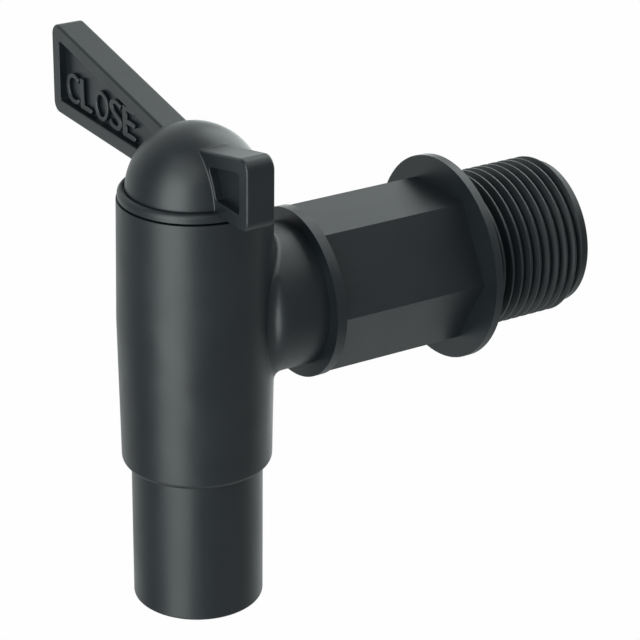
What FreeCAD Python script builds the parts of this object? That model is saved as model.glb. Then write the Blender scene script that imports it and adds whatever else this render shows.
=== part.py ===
import FreeCAD, Part
import math
import os

# Water butt tap: a moulded body with a threaded tail, a lever moulded in one with its
# hollow plug, and the seal ring that the plug carries. All sizes are in millimetres.
# The sealing face of the rear flange lies in the plane y = 0 with the tail along +Y,
# the branch axis runs along Y through the origin, and the barrel axis is vertical.

# Threaded tail and inlet bore
thread_diameter = 26.44
thread_length = 20.8
thread_lead_length = 1.9
thread_lead_depth = 0.95
inlet_bore_diameter = 17.0

# Branch from the sealing face to the barrel
seal_flange_diameter = 34.4
seal_flange_thickness = 1.4
hex_across_flats = 23.9
hex_length = 26.6
front_flange_lip = 2.25
front_flange_thickness = 1.75
neck_inset = 0.75
neck_length = 17.65
neck_set_back = 7.8
neck_end_radius = 2.5
neck_blend_radius = 1.6

# Barrel and spout, with heights and depths measured from the branch axis
barrel_diameter = 25.1
barrel_draft_angle = 0.95
barrel_rim_height = 20.2
barrel_rim_wall = 2.2
barrel_rim_radius = 0.1
shoulder_depth = 24.9
shoulder_step = 1.51
shoulder_radius = 0.9
bore_floor_wall = 2.9
spout_depth = 49.6
spout_wall = 2.1
spout_edge_radius = 0.4

# Plug of the lever: hollow, open below, with one window and a snap bead near its end
plug_clearance = 0.07
plug_end_clearance = 0.4
plug_wall = 2.6
plug_lead_in = 0.5
window_diameter = 15.0
window_bridge = 1.5
bead_rise = 0.4
bead_width = 1.6
bead_lift = 3.0
bead_clearance = 0.3

# Seal ring and its groove near the top of the plug
seal_cord_diameter = 2.0
seal_clearance = 0.1
seal_drop = 5.7
seal_groove_wall = 2.4

# Collar and dome of the lever
collar_gap = 0.3
collar_inset = 0.2
collar_height = 1.45
dome_ledge = 1.15
dome_lift = 1.0
dome_wall = 2.6
dome_groove_width = 0.25
dome_groove_depth = 0.35

# Wings of the lever and the pockets in both faces of each wing
wing_thickness = 4.9
wing_lift = 1.15
wing_root_height = 7.75
wing_low_radius = 1.85
wing_top_radius = 2.0
wing_edge_radius = 0.4
wing_blend_radius = 0.25
long_wing_reach = 43.1
long_wing_rise_angle = 10.4
short_wing_reach = 20.0
short_wing_rise_angle = 11.8
pocket_margin = 2.4
pocket_depth = 1.35
pocket_corner_radius = 0.7
pocket_mouth_radius = 0.2

UP = FreeCAD.Vector(0, 0, 1)
REARWARD = FreeCAD.Vector(0, 1, 0)
PICK_TOLERANCE = 0.01

# Places along the branch, from the sealing face forward
hex_front_y = -seal_flange_thickness - hex_length
front_flange_face_y = hex_front_y - front_flange_thickness
barrel_axis_y = front_flange_face_y - neck_length
neck_end_y = barrel_axis_y + neck_set_back

# Radii of the body, from the barrel wall and its draft
draft_slope = math.tan(math.radians(barrel_draft_angle))
barrel_radius = barrel_diameter / 2
rim_radius = barrel_radius - barrel_rim_height * draft_slope
shoulder_wall_radius = barrel_radius - shoulder_depth * draft_slope
bore_radius = rim_radius - barrel_rim_wall
spout_radius = shoulder_wall_radius - shoulder_step
neck_radius = barrel_radius - neck_inset
front_flange_radius = neck_radius + front_flange_lip
inlet_bore_radius = inlet_bore_diameter / 2

# Radii of the lever, from the bore and the rim that it sits in
plug_radius = bore_radius - plug_clearance
seal_groove_radius = plug_radius - seal_cord_diameter - seal_clearance
collar_radius = rim_radius - collar_inset
dome_radius = collar_radius - dome_ledge

# Heights from the branch axis
bore_floor_z = bore_floor_wall - shoulder_depth
plug_end_z = bore_floor_z + plug_end_clearance
bead_z = plug_end_z + bead_lift
seal_z = barrel_rim_height - seal_drop
collar_low_z = barrel_rim_height + collar_gap
collar_top_z = collar_low_z + collar_height
dome_centre_z = barrel_rim_height + dome_lift
wing_low_z = barrel_rim_height + wing_lift
wing_root_z = wing_low_z + wing_root_height


# A point of a turned profile, in the half plane to the right of the barrel axis
def at(radius, height):
    return FreeCAD.Vector(radius, barrel_axis_y, height)


def polar(centre, radius, angle):
    turn = math.radians(angle)
    return centre + FreeCAD.Vector(radius * math.cos(turn), 0, radius * math.sin(turn))


def chain(points):
    return [Part.LineSegment(start, end).toShape() for start, end in zip(points, points[1:])]


def arc_through(start, middle, end):
    return Part.Arc(start, middle, end).toShape()


def arc_about(centre, radius, start_angle, end_angle):
    angles = (start_angle, (start_angle + end_angle) / 2, end_angle)
    return arc_through(*[polar(centre, radius, angle) for angle in angles])


def turned(edges):
    return Part.Face(Part.Wire(edges)).revolve(at(0, 0), UP, 360)


def rod(radius, start_y, end_y):
    return Part.makeCylinder(radius, end_y - start_y, FreeCAD.Vector(0, start_y, 0), REARWARD)


def post(radius, low_z, high_z):
    return Part.makeCylinder(radius, high_z - low_z, at(0, low_z), UP)


def round_edges(shape, radius, wanted):
    return shape.makeFillet(radius, [edge for edge in shape.Edges if wanted(edge)])


def middle_of(edge):
    return edge.valueAt((edge.FirstParameter + edge.LastParameter) / 2)


def touches(point, shape):
    return Part.Vertex(point).distToShape(shape)[0] < PICK_TOLERANCE


# Barrel and spout: a turned form that thins by the draft above and below the branch axis,
# with a step in to the spout
def barrel_and_spout():
    def ring_at(radius, height):
        def wanted(edge):
            box = edge.BoundBox
            level = box.ZLength < PICK_TOLERANCE and abs(box.ZMin - height) < PICK_TOLERANCE
            return level and abs(box.XMax - radius) < PICK_TOLERANCE
        return wanted

    outline = chain([at(0, -spout_depth), at(spout_radius, -spout_depth), at(spout_radius, -shoulder_depth),
                     at(shoulder_wall_radius, -shoulder_depth), at(barrel_radius, 0),
                     at(rim_radius, barrel_rim_height), at(0, barrel_rim_height), at(0, -spout_depth)])
    barrel = turned(outline)
    barrel = round_edges(barrel, barrel_rim_radius, ring_at(rim_radius, barrel_rim_height))
    barrel = round_edges(barrel, shoulder_radius, ring_at(shoulder_wall_radius, -shoulder_depth))
    return round_edges(barrel, spout_edge_radius, ring_at(spout_radius, -spout_depth))


def hexagon():
    corner_radius = hex_across_flats / 2 / math.cos(math.radians(30))
    front_centre = FreeCAD.Vector(0, hex_front_y, 0)
    corners = [polar(front_centre, corner_radius, 60 * index) for index in range(7)]
    return Part.Face(Part.makePolygon(corners)).extrude(REARWARD * hex_length)


def threaded_tail():
    thread_radius = thread_diameter / 2
    lead_start_y = thread_length - thread_lead_length
    lead = Part.makeCone(thread_radius, thread_radius - thread_lead_depth, thread_lead_length,
                         FreeCAD.Vector(0, lead_start_y, 0), REARWARD)
    return rod(thread_radius, -seal_flange_thickness, lead_start_y).fuse(lead)


# Neck: a round bar from the hexagon to the barrel, with a rounded end that shows as a narrow
# shoulder at both sides of the barrel
def neck():
    def end_rim(edge):
        box = edge.BoundBox
        return box.YLength < PICK_TOLERANCE and abs(box.YMin - neck_end_y) < PICK_TOLERANCE

    return round_edges(rod(neck_radius, neck_end_y, hex_front_y), neck_end_radius, end_rim)


# Body: barrel, spout, branch and tail in one moulding, blended where the neck meets the barrel
# above and below, bored for the plug, the inlet and the outlet, with a groove that the plug's
# bead snaps into
def tap_body():
    barrel = barrel_and_spout()

    def joins_barrel(edge):
        middle = middle_of(edge)
        on_neck = abs(math.hypot(middle.x, middle.z) - neck_radius) < PICK_TOLERANCE
        return on_neck and touches(middle, barrel)

    body = round_edges(barrel.fuse(neck()), neck_blend_radius, joins_barrel)
    front_flange = rod(front_flange_radius, front_flange_face_y, hex_front_y)
    seal_flange = rod(seal_flange_diameter / 2, -seal_flange_thickness, 0)
    body = body.fuse([front_flange, hexagon(), seal_flange, threaded_tail()])
    groove_radius = plug_radius + bead_rise + bead_clearance
    groove_half_width = bead_width / 2 + bead_clearance
    return body.cut([post(bore_radius, bore_floor_z, barrel_rim_height),
                     post(groove_radius, bead_z - groove_half_width, bead_z + groove_half_width),
                     post(spout_radius - spout_wall, -spout_depth, bore_floor_z),
                     rod(inlet_bore_radius, barrel_axis_y, thread_length)])


# Plug and collar: one turned form, from the open end of the plug to the groove around the
# dome, with a collar that is rounded from its side to the groove
def plug_and_collar():
    bead_low = at(plug_radius, bead_z - bead_width / 2)
    bead_high = at(plug_radius, bead_z + bead_width / 2)
    groove_low_z = seal_z - seal_cord_diameter / 2 - seal_clearance
    groove_high_z = seal_z + seal_cord_diameter / 2 + seal_clearance
    ledge_radius = dome_radius + dome_groove_width
    ledge_low_z = collar_top_z - dome_groove_depth
    collar_edge_radius = collar_radius - ledge_radius
    collar_edge_centre = at(ledge_radius, collar_top_z - collar_edge_radius)
    outline = chain([at(0, plug_end_z), at(plug_radius - plug_lead_in, plug_end_z),
                     at(plug_radius, plug_end_z + plug_lead_in), bead_low])
    outline.append(arc_through(bead_low, at(plug_radius + bead_rise, bead_z), bead_high))
    outline += chain([bead_high, at(plug_radius, groove_low_z), at(seal_groove_radius, groove_low_z),
                      at(seal_groove_radius, groove_high_z), at(plug_radius, groove_high_z),
                      at(plug_radius, collar_low_z), at(collar_radius, collar_low_z),
                      polar(collar_edge_centre, collar_edge_radius, 0)])
    outline.append(arc_about(collar_edge_centre, collar_edge_radius, 0, 90))
    outline += chain([polar(collar_edge_centre, collar_edge_radius, 90), at(ledge_radius, ledge_low_z),
                      at(0, ledge_low_z), at(0, plug_end_z)])
    return turned(outline)


# Dome: a half ball on a short round base that stands in the collar
def dome():
    ball_centre = at(0, dome_centre_z)
    outline = chain([at(0, collar_low_z), at(dome_radius, collar_low_z), at(dome_radius, dome_centre_z)])
    outline.append(arc_about(ball_centre, dome_radius, 0, 90))
    outline += chain([polar(ball_centre, dome_radius, 90), at(0, collar_low_z)])
    return turned(outline)


# Hollow of the plug, wide behind the window and narrower up into the dome
def plug_hollow():
    wide_radius = plug_radius - plug_wall
    core_radius = seal_groove_radius - seal_groove_wall
    step_z = window_diameter / 2 + window_bridge
    core_centre = at(0, dome_centre_z + dome_radius - dome_wall - core_radius)
    outline = chain([at(0, plug_end_z), at(wide_radius, plug_end_z), at(wide_radius, step_z),
                     at(core_radius, step_z + wide_radius - core_radius), polar(core_centre, core_radius, 0)])
    outline.append(arc_about(core_centre, core_radius, 0, 90))
    outline += chain([polar(core_centre, core_radius, 90), at(0, plug_end_z)])
    return turned(outline)


# One wing: a plate that deepens outward, with a pocket in each face that stops just short of
# the blend to the dome; side is -1 for the wing along -X and +1 for the wing along +X
def wing(side, reach, rise_angle):
    front_y = barrel_axis_y - wing_thickness / 2
    rear_y = barrel_axis_y + wing_thickness / 2

    def slab(margin, start_y, end_y):
        low_z = wing_low_z + margin
        end_x = reach - margin
        root_z = wing_root_z - margin / math.cos(math.radians(rise_angle))
        end_z = root_z + end_x * math.tan(math.radians(rise_angle))
        corners = [(0, low_z), (end_x, low_z), (end_x, end_z), (0, root_z), (0, low_z)]
        points = [FreeCAD.Vector(side * x, start_y, z) for x, z in corners]
        return Part.Face(Part.makePolygon(points)).extrude(REARWARD * (end_y - start_y))

    def crosswise(edge):
        return edge.BoundBox.YLength > PICK_TOLERANCE

    def at_tip(edge):
        return crosswise(edge) and abs(edge.CenterOfMass.x) > reach - PICK_TOLERANCE

    def low_corner(edge):
        return at_tip(edge) and edge.CenterOfMass.z < wing_root_z

    def top_corner(edge):
        return at_tip(edge) and edge.CenterOfMass.z > wing_root_z

    def outline_edge(edge):
        return not crosswise(edge) and abs(edge.CenterOfMass.x) > PICK_TOLERANCE

    def mouth_of(pocket, face_y):
        def wanted(edge):
            on_face = abs(edge.CenterOfMass.y - face_y) < PICK_TOLERANCE and not crosswise(edge)
            return on_face and edge.distToShape(pocket)[0] < PICK_TOLERANCE
        return wanted

    plate = slab(0, front_y, rear_y)
    plate = round_edges(plate, wing_low_radius, low_corner)
    plate = round_edges(plate, wing_top_radius, top_corner)
    plate = round_edges(plate, wing_edge_radius, outline_edge)
    junction_radius = math.sqrt(dome_radius ** 2 - (wing_thickness / 2) ** 2)
    lip_radius = junction_radius + wing_blend_radius + pocket_mouth_radius
    dome_lip = Part.makeCylinder(lip_radius, wing_thickness,
                                 FreeCAD.Vector(0, front_y, dome_centre_z), REARWARD)
    front_pocket = slab(pocket_margin, front_y, front_y + pocket_depth)
    rear_pocket = slab(pocket_margin, rear_y - pocket_depth, rear_y)
    for pocket, face_y in ((front_pocket, front_y), (rear_pocket, rear_y)):
        pocket = round_edges(pocket.cut(dome_lip), pocket_corner_radius, crosswise)
        plate = round_edges(plate.cut(pocket), pocket_mouth_radius, mouth_of(pocket, face_y))
    return plate


# Lever: dome, collar, plug and both wings in one moulding, with a blend where each wing meets
# the dome, hollowed from below, with its window to the front where the closed tap leaves the
# inlet covered
def lever():
    def joins(one, other):
        return lambda edge: touches(middle_of(edge), one) and touches(middle_of(edge), other)

    crown = dome()
    grip = crown
    for plate in (wing(-1, long_wing_reach, long_wing_rise_angle),
                  wing(1, short_wing_reach, short_wing_rise_angle)):
        grip = round_edges(grip.fuse(plate), wing_blend_radius, joins(crown, plate))
    window = rod(window_diameter / 2, barrel_axis_y - bore_radius, barrel_axis_y)
    return plug_and_collar().fuse(grip).cut([plug_hollow(), window])


def seal_ring():
    cord_radius = seal_cord_diameter / 2
    return Part.makeTorus(plug_radius - cord_radius, cord_radius, at(0, seal_z), UP)


pieces = {"tap_body": tap_body(), "lever": lever(), "seal_ring": seal_ring()}
os.makedirs("parts", exist_ok=True)
for node, shape in pieces.items():
    shape.exportStep("parts/" + node + ".step")
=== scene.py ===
import math

import bmesh
import bpy
from mathutils import Euler, Matrix, Vector


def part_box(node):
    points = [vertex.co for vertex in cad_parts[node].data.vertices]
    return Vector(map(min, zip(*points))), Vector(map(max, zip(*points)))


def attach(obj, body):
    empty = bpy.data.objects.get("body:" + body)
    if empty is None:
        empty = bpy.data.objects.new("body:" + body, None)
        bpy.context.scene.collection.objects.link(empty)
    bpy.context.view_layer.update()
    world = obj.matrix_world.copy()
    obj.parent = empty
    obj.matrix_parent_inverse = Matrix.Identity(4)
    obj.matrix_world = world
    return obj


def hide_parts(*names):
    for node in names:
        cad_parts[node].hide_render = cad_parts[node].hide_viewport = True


bpy.ops.wm.read_factory_settings(use_empty=True)
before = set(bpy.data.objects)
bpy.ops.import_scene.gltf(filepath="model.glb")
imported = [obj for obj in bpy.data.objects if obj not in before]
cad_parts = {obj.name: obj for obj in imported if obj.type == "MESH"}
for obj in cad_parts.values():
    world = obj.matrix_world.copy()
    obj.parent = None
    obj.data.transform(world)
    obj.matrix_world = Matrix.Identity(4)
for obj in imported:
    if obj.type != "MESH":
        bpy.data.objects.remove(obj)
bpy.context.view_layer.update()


# The tap body: one injection moulding in charcoal polypropylene, with barrel, spout, neck, spanner
# hexagon, sealing flange and tail. The tail's pipe thread is moulded with it, so the solid's plain
# tail is taken off here and a true helical thread closes the moulding again.
thread_pitch = 0.001814
thread_crest_radius = 0.01321
thread_crest_width = 0.0003
thread_root_width = 0.00032
thread_flank_angle = math.radians(27.5)
thread_edge_rounding = 0.00006
thread_start_angle = math.radians(165)
thread_steps_per_turn = 80
thread_spare_turns = 3
thread_run_out = 0.0001
inlet_bore_radius = 0.0085
lead_length = 0.0017
lead_start_radius = 0.01235
lead_end_radius = 0.01227
tail_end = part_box("tap_body")[1].y
cut_tolerance = 1e-7
merge_distance = 1e-6
seam_tolerance = 1e-5
pick_margin = 1e-4
sharp_edge_angle = math.radians(32)
charcoal_dark = (0.0042, 0.0068, 0.0092, 1)
charcoal_light = (0.0052, 0.008, 0.0106, 1)
charcoal_roughness = 0.4
charcoal_refraction = 1.55
flow_low = 0.3
flow_high = 0.7
gloss_spread = 0.04
grain_strength = 0.12
grain_depth = 0.00004


def distance_from_tail_axis(point):
    """How far a point lies from the axis of the tail."""
    return math.hypot(point.x, point.z)


def cut_across_tail(bm, y, **cleared):
    """A plane cut square to the tail's axis, which can clear away one of its two sides."""
    everything = bm.verts[:] + bm.edges[:] + bm.faces[:]
    bmesh.ops.bisect_plane(bm, geom=everything, dist=cut_tolerance, plane_co=(0, y, 0),
                           plane_no=(0, 1, 0), **cleared)


def pipe_thread(bm):
    """A flat-crested ridge swept along its helix, which ends at the plain ring of the lead."""
    flank_width = (thread_pitch - thread_crest_width - thread_root_width) / 2
    root_radius = thread_crest_radius - flank_width / math.tan(thread_flank_angle)
    turns = math.ceil(tail_end / thread_pitch) + thread_spare_turns
    along = -thread_spare_turns / 2 * thread_pitch
    corners = [(along, root_radius)]
    for width, radius in ((flank_width, thread_crest_radius), (thread_crest_width, thread_crest_radius),
                          (flank_width, root_radius), (thread_root_width, root_radius)):
        along += width
        corners.append((along, radius))
    verts = [bm.verts.new((0, along, radius)) for along, radius in corners]
    edges = [bm.edges.new(pair) for pair in zip(verts, verts[1:])]
    bmesh.ops.rotate(bm, verts=verts, cent=(0, 0, 0),
                     matrix=Matrix.Rotation(thread_start_angle, 3, "Y"))
    bmesh.ops.spin(bm, geom=verts + edges, cent=(0, 0, 0), axis=(0, 1, 0),
                   dvec=(0, thread_pitch / thread_steps_per_turn, 0),
                   angle=2 * math.pi * turns, steps=turns * thread_steps_per_turn)
    bmesh.ops.remove_doubles(bm, verts=bm.verts, dist=merge_distance)
    ridge_lines = [edge for edge in bm.edges if len(edge.link_faces) == 2
                   and abs(edge.verts[0].co.y - edge.verts[1].co.y) < thread_root_width / 2]
    bmesh.ops.bevel(bm, geom=ridge_lines, affect="EDGES", offset=thread_edge_rounding, segments=2,
                    profile=0.5, material=-1)
    lead_start = tail_end - lead_length
    lead_slope = (lead_start_radius - lead_end_radius) / lead_length
    cut_across_tail(bm, lead_start)
    cut_across_tail(bm, lead_start + thread_run_out)
    for vert in bm.verts:
        into_lead = max(0, vert.co.y - lead_start)
        run_out = min(1, into_lead / thread_run_out)
        lead_scale = (lead_start_radius - into_lead * lead_slope) / distance_from_tail_axis(vert.co)
        narrowing = 1 + run_out * (lead_scale - 1)
        vert.co.x *= narrowing
        vert.co.z *= narrowing
    cut_across_tail(bm, 0, clear_inner=True)
    cut_across_tail(bm, tail_end, clear_outer=True)


thread = bmesh.new()
pipe_thread(thread)
thread_mesh = bpy.data.meshes.new("pipe_thread")
thread.to_mesh(thread_mesh)
thread.free()

moulding = bmesh.new()
moulding.from_mesh(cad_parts["tap_body"].data)
bmesh.ops.remove_doubles(moulding, verts=moulding.verts, dist=merge_distance)
plain_tail = [face for face in moulding.faces
              if face.calc_center_median().y > pick_margin
              and distance_from_tail_axis(face.calc_center_median()) > inlet_bore_radius + pick_margin]
bmesh.ops.delete(moulding, geom=plain_tail, context="FACES")
moulding.from_mesh(thread_mesh)
bpy.data.meshes.remove(thread_mesh)
# A flat ring closes the moulding at each end of the thread.
for seam in (0, tail_end):
    rims = [edge for edge in moulding.edges if edge.is_boundary
            and all(abs(vert.co.y - seam) < seam_tolerance for vert in edge.verts)]
    bmesh.ops.triangle_fill(moulding, edges=rims, use_beauty=True, normal=(0, 1, 0))
bmesh.ops.recalc_face_normals(moulding, faces=moulding.faces)
for face in moulding.faces:
    face.smooth = True
body_mesh = bpy.data.meshes.new("tap_body_moulding")
moulding.to_mesh(body_mesh)
moulding.free()
# The solid's stored normals don't know the thread, so edges that are sharp by angle take their place.
body_mesh.attributes.remove(body_mesh.attributes["custom_normal"])
body_mesh.set_sharp_from_angle(angle=sharp_edge_angle)
tap_body = bpy.data.objects.new("tap_body_moulding", body_mesh)
bpy.context.collection.objects.link(tap_body)
even_shading = tap_body.modifiers.new("even_shading", "WEIGHTED_NORMAL")
even_shading.keep_sharp = True


def moulded_grain_group():
    """The fine grain of a spark-eroded mould and its cloudy flow marks, as values over the surface."""
    group = bpy.data.node_groups.new("moulded_grain", "ShaderNodeTree")
    for name, default in (("Grain Scale", 9000.0), ("Flow Scale", 60.0), ("Roughness", charcoal_roughness)):
        socket = group.interface.new_socket(name, in_out="INPUT", socket_type="NodeSocketFloat")
        socket.default_value = default
    for name in ("Tone", "Roughness", "Height"):
        group.interface.new_socket(name, in_out="OUTPUT", socket_type="NodeSocketFloat")
    nodes, links = group.nodes, group.links
    inputs = nodes.new("NodeGroupInput")
    outputs = nodes.new("NodeGroupOutput")
    place = nodes.new("ShaderNodeTexCoord")
    grain = nodes.new("ShaderNodeTexNoise")
    grain.inputs["Detail"].default_value = 3
    flow = nodes.new("ShaderNodeTexNoise")
    flow.inputs["Detail"].default_value = 4
    flow.inputs["Distortion"].default_value = 0.6
    links.new(place.outputs["Object"], grain.inputs["Vector"])
    links.new(place.outputs["Object"], flow.inputs["Vector"])
    links.new(inputs.outputs["Grain Scale"], grain.inputs["Scale"])
    links.new(inputs.outputs["Flow Scale"], flow.inputs["Scale"])
    spread = nodes.new("ShaderNodeMapRange")
    spread.inputs["From Min"].default_value = flow_low
    spread.inputs["From Max"].default_value = flow_high
    spread.inputs["To Min"].default_value = -gloss_spread
    spread.inputs["To Max"].default_value = gloss_spread
    links.new(flow.outputs["Fac"], spread.inputs["Value"])
    gloss = nodes.new("ShaderNodeMath")
    gloss.operation = "ADD"
    links.new(inputs.outputs["Roughness"], gloss.inputs[0])
    links.new(spread.outputs["Result"], gloss.inputs[1])
    links.new(gloss.outputs["Value"], outputs.inputs["Roughness"])
    links.new(flow.outputs["Fac"], outputs.inputs["Tone"])
    links.new(grain.outputs["Fac"], outputs.inputs["Height"])
    return group


moulded_grain = moulded_grain_group()


def charcoal_plastic(name):
    """Satin charcoal polypropylene with its mould's grain."""
    material = bpy.data.materials.new(name)
    material.use_nodes = True
    nodes, links = material.node_tree.nodes, material.node_tree.links
    shader = nodes["Principled BSDF"]
    shader.inputs["IOR"].default_value = charcoal_refraction
    grain = nodes.new("ShaderNodeGroup")
    grain.node_tree = moulded_grain
    grain.inputs["Roughness"].default_value = charcoal_roughness
    tone = nodes.new("ShaderNodeValToRGB")
    tone.color_ramp.elements[0].position = flow_low
    tone.color_ramp.elements[0].color = charcoal_dark
    tone.color_ramp.elements[1].position = flow_high
    tone.color_ramp.elements[1].color = charcoal_light
    bump = nodes.new("ShaderNodeBump")
    bump.inputs["Strength"].default_value = grain_strength
    bump.inputs["Distance"].default_value = grain_depth
    links.new(grain.outputs["Tone"], tone.inputs["Fac"])
    links.new(tone.outputs["Color"], shader.inputs["Base Color"])
    links.new(grain.outputs["Roughness"], shader.inputs["Roughness"])
    links.new(grain.outputs["Height"], bump.inputs["Height"])
    links.new(bump.outputs["Normal"], shader.inputs["Normal"])
    return material


body_mesh.materials.append(charcoal_plastic("body_charcoal"))
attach(tap_body, "body")
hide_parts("tap_body")


# The lever: one moulding of the same charcoal plastic with the dome, collar, two wings and the
# hollow plug that turns in the barrel. Its solid is shown as it is, with the finish of the body.
lever_charcoal = charcoal_plastic("lever_charcoal")
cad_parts["lever"].data.materials[0] = lever_charcoal


# The raised word on the floor of the long wing's front pocket, moulded with the lever. It says
# which way the lever stands when the tap is shut, in plain thin capitals.
word_foot = 0.0242
word_height = 0.00505
word_rise = 0.00065
letter_blank_depth = 0.1
letter_merge_distance = 1e-7
pocket_floor_y = -0.0485
letter_edges = {"C": (-0.03955, -0.03535), "L": (-0.0346, -0.0309), "O": (-0.02965, -0.02515),
                "S": (-0.02445, -0.0206), "E": (-0.02, -0.016)}


def raised_letter(letter, left, right):
    """The mesh of one capital, fitted between its two edges and standing out of the pocket's floor."""
    outline = bpy.data.curves.new(letter, "FONT")
    outline.body = letter
    outline.extrude = letter_blank_depth
    shape = bpy.data.objects.new(letter, outline)
    bpy.context.collection.objects.link(shape)
    mesh = bpy.data.meshes.new_from_object(shape)
    bpy.data.objects.remove(shape)
    low = Vector(min(vert.co[axis] for vert in mesh.vertices) for axis in range(3))
    high = Vector(max(vert.co[axis] for vert in mesh.vertices) for axis in range(3))
    size = high - low
    fit = Matrix.Diagonal(((right - left) / size.x, word_height / size.y, word_rise / size.z, 1))
    upright = Matrix.Rotation(math.radians(90), 4, "X")
    place = Matrix.Translation((left, pocket_floor_y, word_foot))
    mesh.transform(place @ upright @ fit @ Matrix.Translation(-low))
    return mesh


letters = bmesh.new()
for letter, (left, right) in letter_edges.items():
    letter_mesh = raised_letter(letter, left, right)
    letters.from_mesh(letter_mesh)
    bpy.data.meshes.remove(letter_mesh)
bmesh.ops.remove_doubles(letters, verts=letters.verts, dist=letter_merge_distance)
bmesh.ops.recalc_face_normals(letters, faces=letters.faces)
word_mesh = bpy.data.meshes.new("closed_word")
letters.to_mesh(word_mesh)
letters.free()
word = bpy.data.objects.new("closed_word", word_mesh)
bpy.context.collection.objects.link(word)
word_mesh.materials.append(lever_charcoal)
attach(word, "lever")


# The seal ring: a moulded ring of black nitrile rubber in the plug's groove, hidden in the barrel.
# It keeps water from climbing past the plug when the tap is open.
rubber_dark = (0.012, 0.012, 0.012, 1)
rubber_light = (0.022, 0.022, 0.022, 1)
rubber_roughness = 0.7
seal_rubber = bpy.data.materials.new("seal_rubber_black")
seal_rubber.use_nodes = True
rubber_nodes, rubber_links = seal_rubber.node_tree.nodes, seal_rubber.node_tree.links
rubber = rubber_nodes["Principled BSDF"]
rubber_grain = rubber_nodes.new("ShaderNodeGroup")
rubber_grain.node_tree = moulded_grain
rubber_grain.inputs["Roughness"].default_value = rubber_roughness
rubber_tone = rubber_nodes.new("ShaderNodeValToRGB")
rubber_tone.color_ramp.elements[0].color = rubber_dark
rubber_tone.color_ramp.elements[1].color = rubber_light
rubber_links.new(rubber_grain.outputs["Tone"], rubber_tone.inputs["Fac"])
rubber_links.new(rubber_tone.outputs["Color"], rubber.inputs["Base Color"])
rubber_links.new(rubber_grain.outputs["Roughness"], rubber.inputs["Roughness"])
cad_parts["seal_ring"].data.materials[0] = seal_rubber


# The studio: a pale floor well below the tap, a room that is dim on the camera's side and white
# behind the tap, and four softboxes. The tall one at the camera's left gives the barrel its streak,
# and the ones behind the tap light the tops and the rims.
camera_azimuth = math.radians(57.624)
camera_elevation = math.radians(24.688)
camera_roll = math.radians(0.698)
camera_distance = 0.40713
camera_target = Vector((0.01068, -0.03096, -0.00046))
floor_depth = 1.0
floor_half_width = 1.2
floor_paint_colour = (0.7, 0.7, 0.7, 1)
floor_white_share = 0.98
backdrop_white = (0.99, 0.99, 0.99, 1)
lamp_white = (0.935, 1, 0.99)
# The room's brightness by place, from the camera's side at 0 to behind the tap at 1.
room_brightness = {0.0: 0.45, 0.25: 0.36, 0.5: 0.2, 0.7: 0.66, 1.0: 1.0}

camera_data = bpy.data.cameras.new("camera")
camera_data.sensor_width = 36
camera_data.lens = 145.14
camera = bpy.data.objects.new("camera", camera_data)
bpy.context.collection.objects.link(camera)
camera_aim = Euler((math.pi / 2 - camera_elevation, 0, camera_azimuth)).to_matrix()
camera_turn = camera_aim @ Matrix.Rotation(camera_roll, 3, "Z")
camera.rotation_euler = camera_turn.to_euler()
camera.location = camera_target + camera_turn @ Vector((0, 0, camera_distance))
bpy.context.scene.camera = camera

floor_mesh = bpy.data.meshes.new("floor")
floor_bm = bmesh.new()
bmesh.ops.create_grid(floor_bm, x_segments=1, y_segments=1, size=floor_half_width)
bmesh.ops.translate(floor_bm, verts=floor_bm.verts, vec=(0, 0, -floor_depth))
floor_bm.to_mesh(floor_mesh)
floor_bm.free()
floor = bpy.data.objects.new("floor", floor_mesh)
bpy.context.collection.objects.link(floor)
floor_paint = bpy.data.materials.new("floor_paint")
floor_paint.use_nodes = True
paint_nodes, paint_links = floor_paint.node_tree.nodes, floor_paint.node_tree.links
paint = paint_nodes["Principled BSDF"]
paint.inputs["Base Color"].default_value = floor_paint_colour
paint.inputs["Roughness"].default_value = 0.9
white_glow = paint_nodes.new("ShaderNodeEmission")
seen = paint_nodes.new("ShaderNodeLightPath")
blend = paint_nodes.new("ShaderNodeMixShader")
share = paint_nodes.new("ShaderNodeMath")
share.operation = "MULTIPLY"
share.inputs[1].default_value = floor_white_share
paint_links.new(seen.outputs["Is Camera Ray"], share.inputs[0])
paint_links.new(share.outputs["Value"], blend.inputs["Fac"])
paint_links.new(paint.outputs["BSDF"], blend.inputs[1])
paint_links.new(white_glow.outputs["Emission"], blend.inputs[2])
paint_links.new(blend.outputs["Shader"], paint_nodes["Material Output"].inputs["Surface"])
floor_mesh.materials.append(floor_paint)


def direction_at(azimuth, elevation):
    """A unit vector from the tap, with the azimuth counted from the tap's front towards its right."""
    return Vector((math.sin(azimuth) * math.cos(elevation), -math.cos(azimuth) * math.cos(elevation),
                   math.sin(elevation)))


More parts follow.
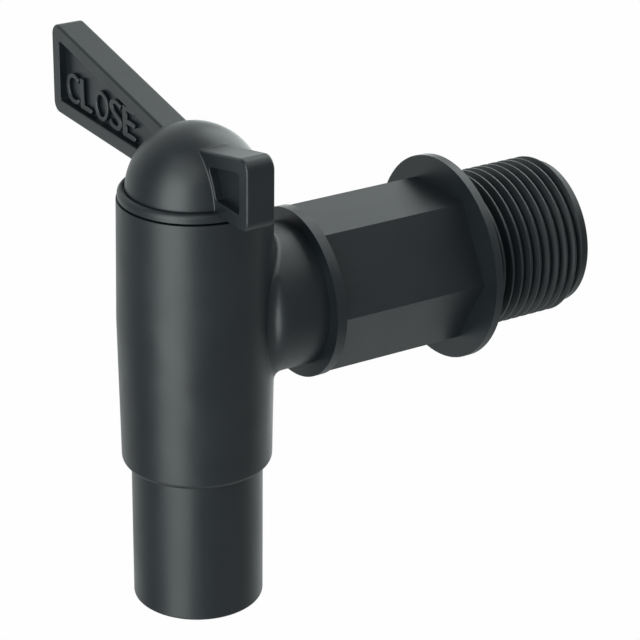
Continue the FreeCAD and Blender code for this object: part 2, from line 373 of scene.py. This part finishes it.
world = bpy.data.worlds.new("studio")
bpy.context.scene.world = world
world.use_nodes = True
sky_nodes, sky_links = world.node_tree.nodes, world.node_tree.links
sky = sky_nodes["Background"]
direction = sky_nodes.new("ShaderNodeTexCoord")
facing = sky_nodes.new("ShaderNodeVectorMath")
facing.operation = "DOT_PRODUCT"
facing.inputs[1].default_value = direction_at(camera_azimuth + math.pi, 0)
half_turn = sky_nodes.new("ShaderNodeMapRange")
half_turn.inputs["From Min"].default_value = -1
half_turn.inputs["From Max"].default_value = 1
room = sky_nodes.new("ShaderNodeValToRGB")
room_stops = room.color_ramp.elements
for place in list(room_brightness)[1:-1]:
    room_stops.new(place)
for stop, brightness in zip(room_stops, room_brightness.values()):
    stop.color = (*(channel * brightness for channel in lamp_white), 1)
camera_sees = sky_nodes.new("ShaderNodeLightPath")
backdrop = sky_nodes.new("ShaderNodeMix")
backdrop.data_type = "RGBA"
backdrop.inputs["B"].default_value = backdrop_white
sky_links.new(direction.outputs["Generated"], facing.inputs[0])
sky_links.new(facing.outputs["Value"], half_turn.inputs["Value"])
sky_links.new(half_turn.outputs["Result"], room.inputs["Fac"])
sky_links.new(camera_sees.outputs["Is Camera Ray"], backdrop.inputs["Factor"])
sky_links.new(room.outputs["Color"], backdrop.inputs["A"])
sky_links.new(backdrop.outputs["Result"], sky.inputs["Color"])


def softbox(name, turn, rise, distance, width, height, brightness):
    """A soft lamp that faces the tap, turned in degrees from the camera. Its face has the brightness."""
    azimuth = camera_azimuth + math.radians(turn)
    elevation = math.radians(rise)
    lamp = bpy.data.lights.new(name, "AREA")
    lamp.shape = "RECTANGLE"
    lamp.size = width
    lamp.size_y = height
    lamp.color = lamp_white
    lamp.energy = brightness * math.pi * width * height
    stand = bpy.data.objects.new(name, lamp)
    bpy.context.collection.objects.link(stand)
    stand.rotation_euler = (math.pi / 2 - elevation, 0, azimuth)
    stand.location = camera_target + direction_at(azimuth, elevation) * distance
    stand.visible_camera = False


softbox("key_softbox", turn=-31.5, rise=2, distance=0.8, width=0.62, height=1.16, brightness=3.6)
softbox("high_softbox", turn=-25, rise=55, distance=0.8, width=0.8, height=0.5, brightness=1.2)
softbox("rear_softbox", turn=132, rise=32, distance=0.9, width=1.12, height=0.96, brightness=2.2)
softbox("low_softbox", turn=160, rise=-12, distance=0.9, width=0.8, height=0.45, brightness=2.0)

bpy.context.scene.view_settings.view_transform = "Standard"
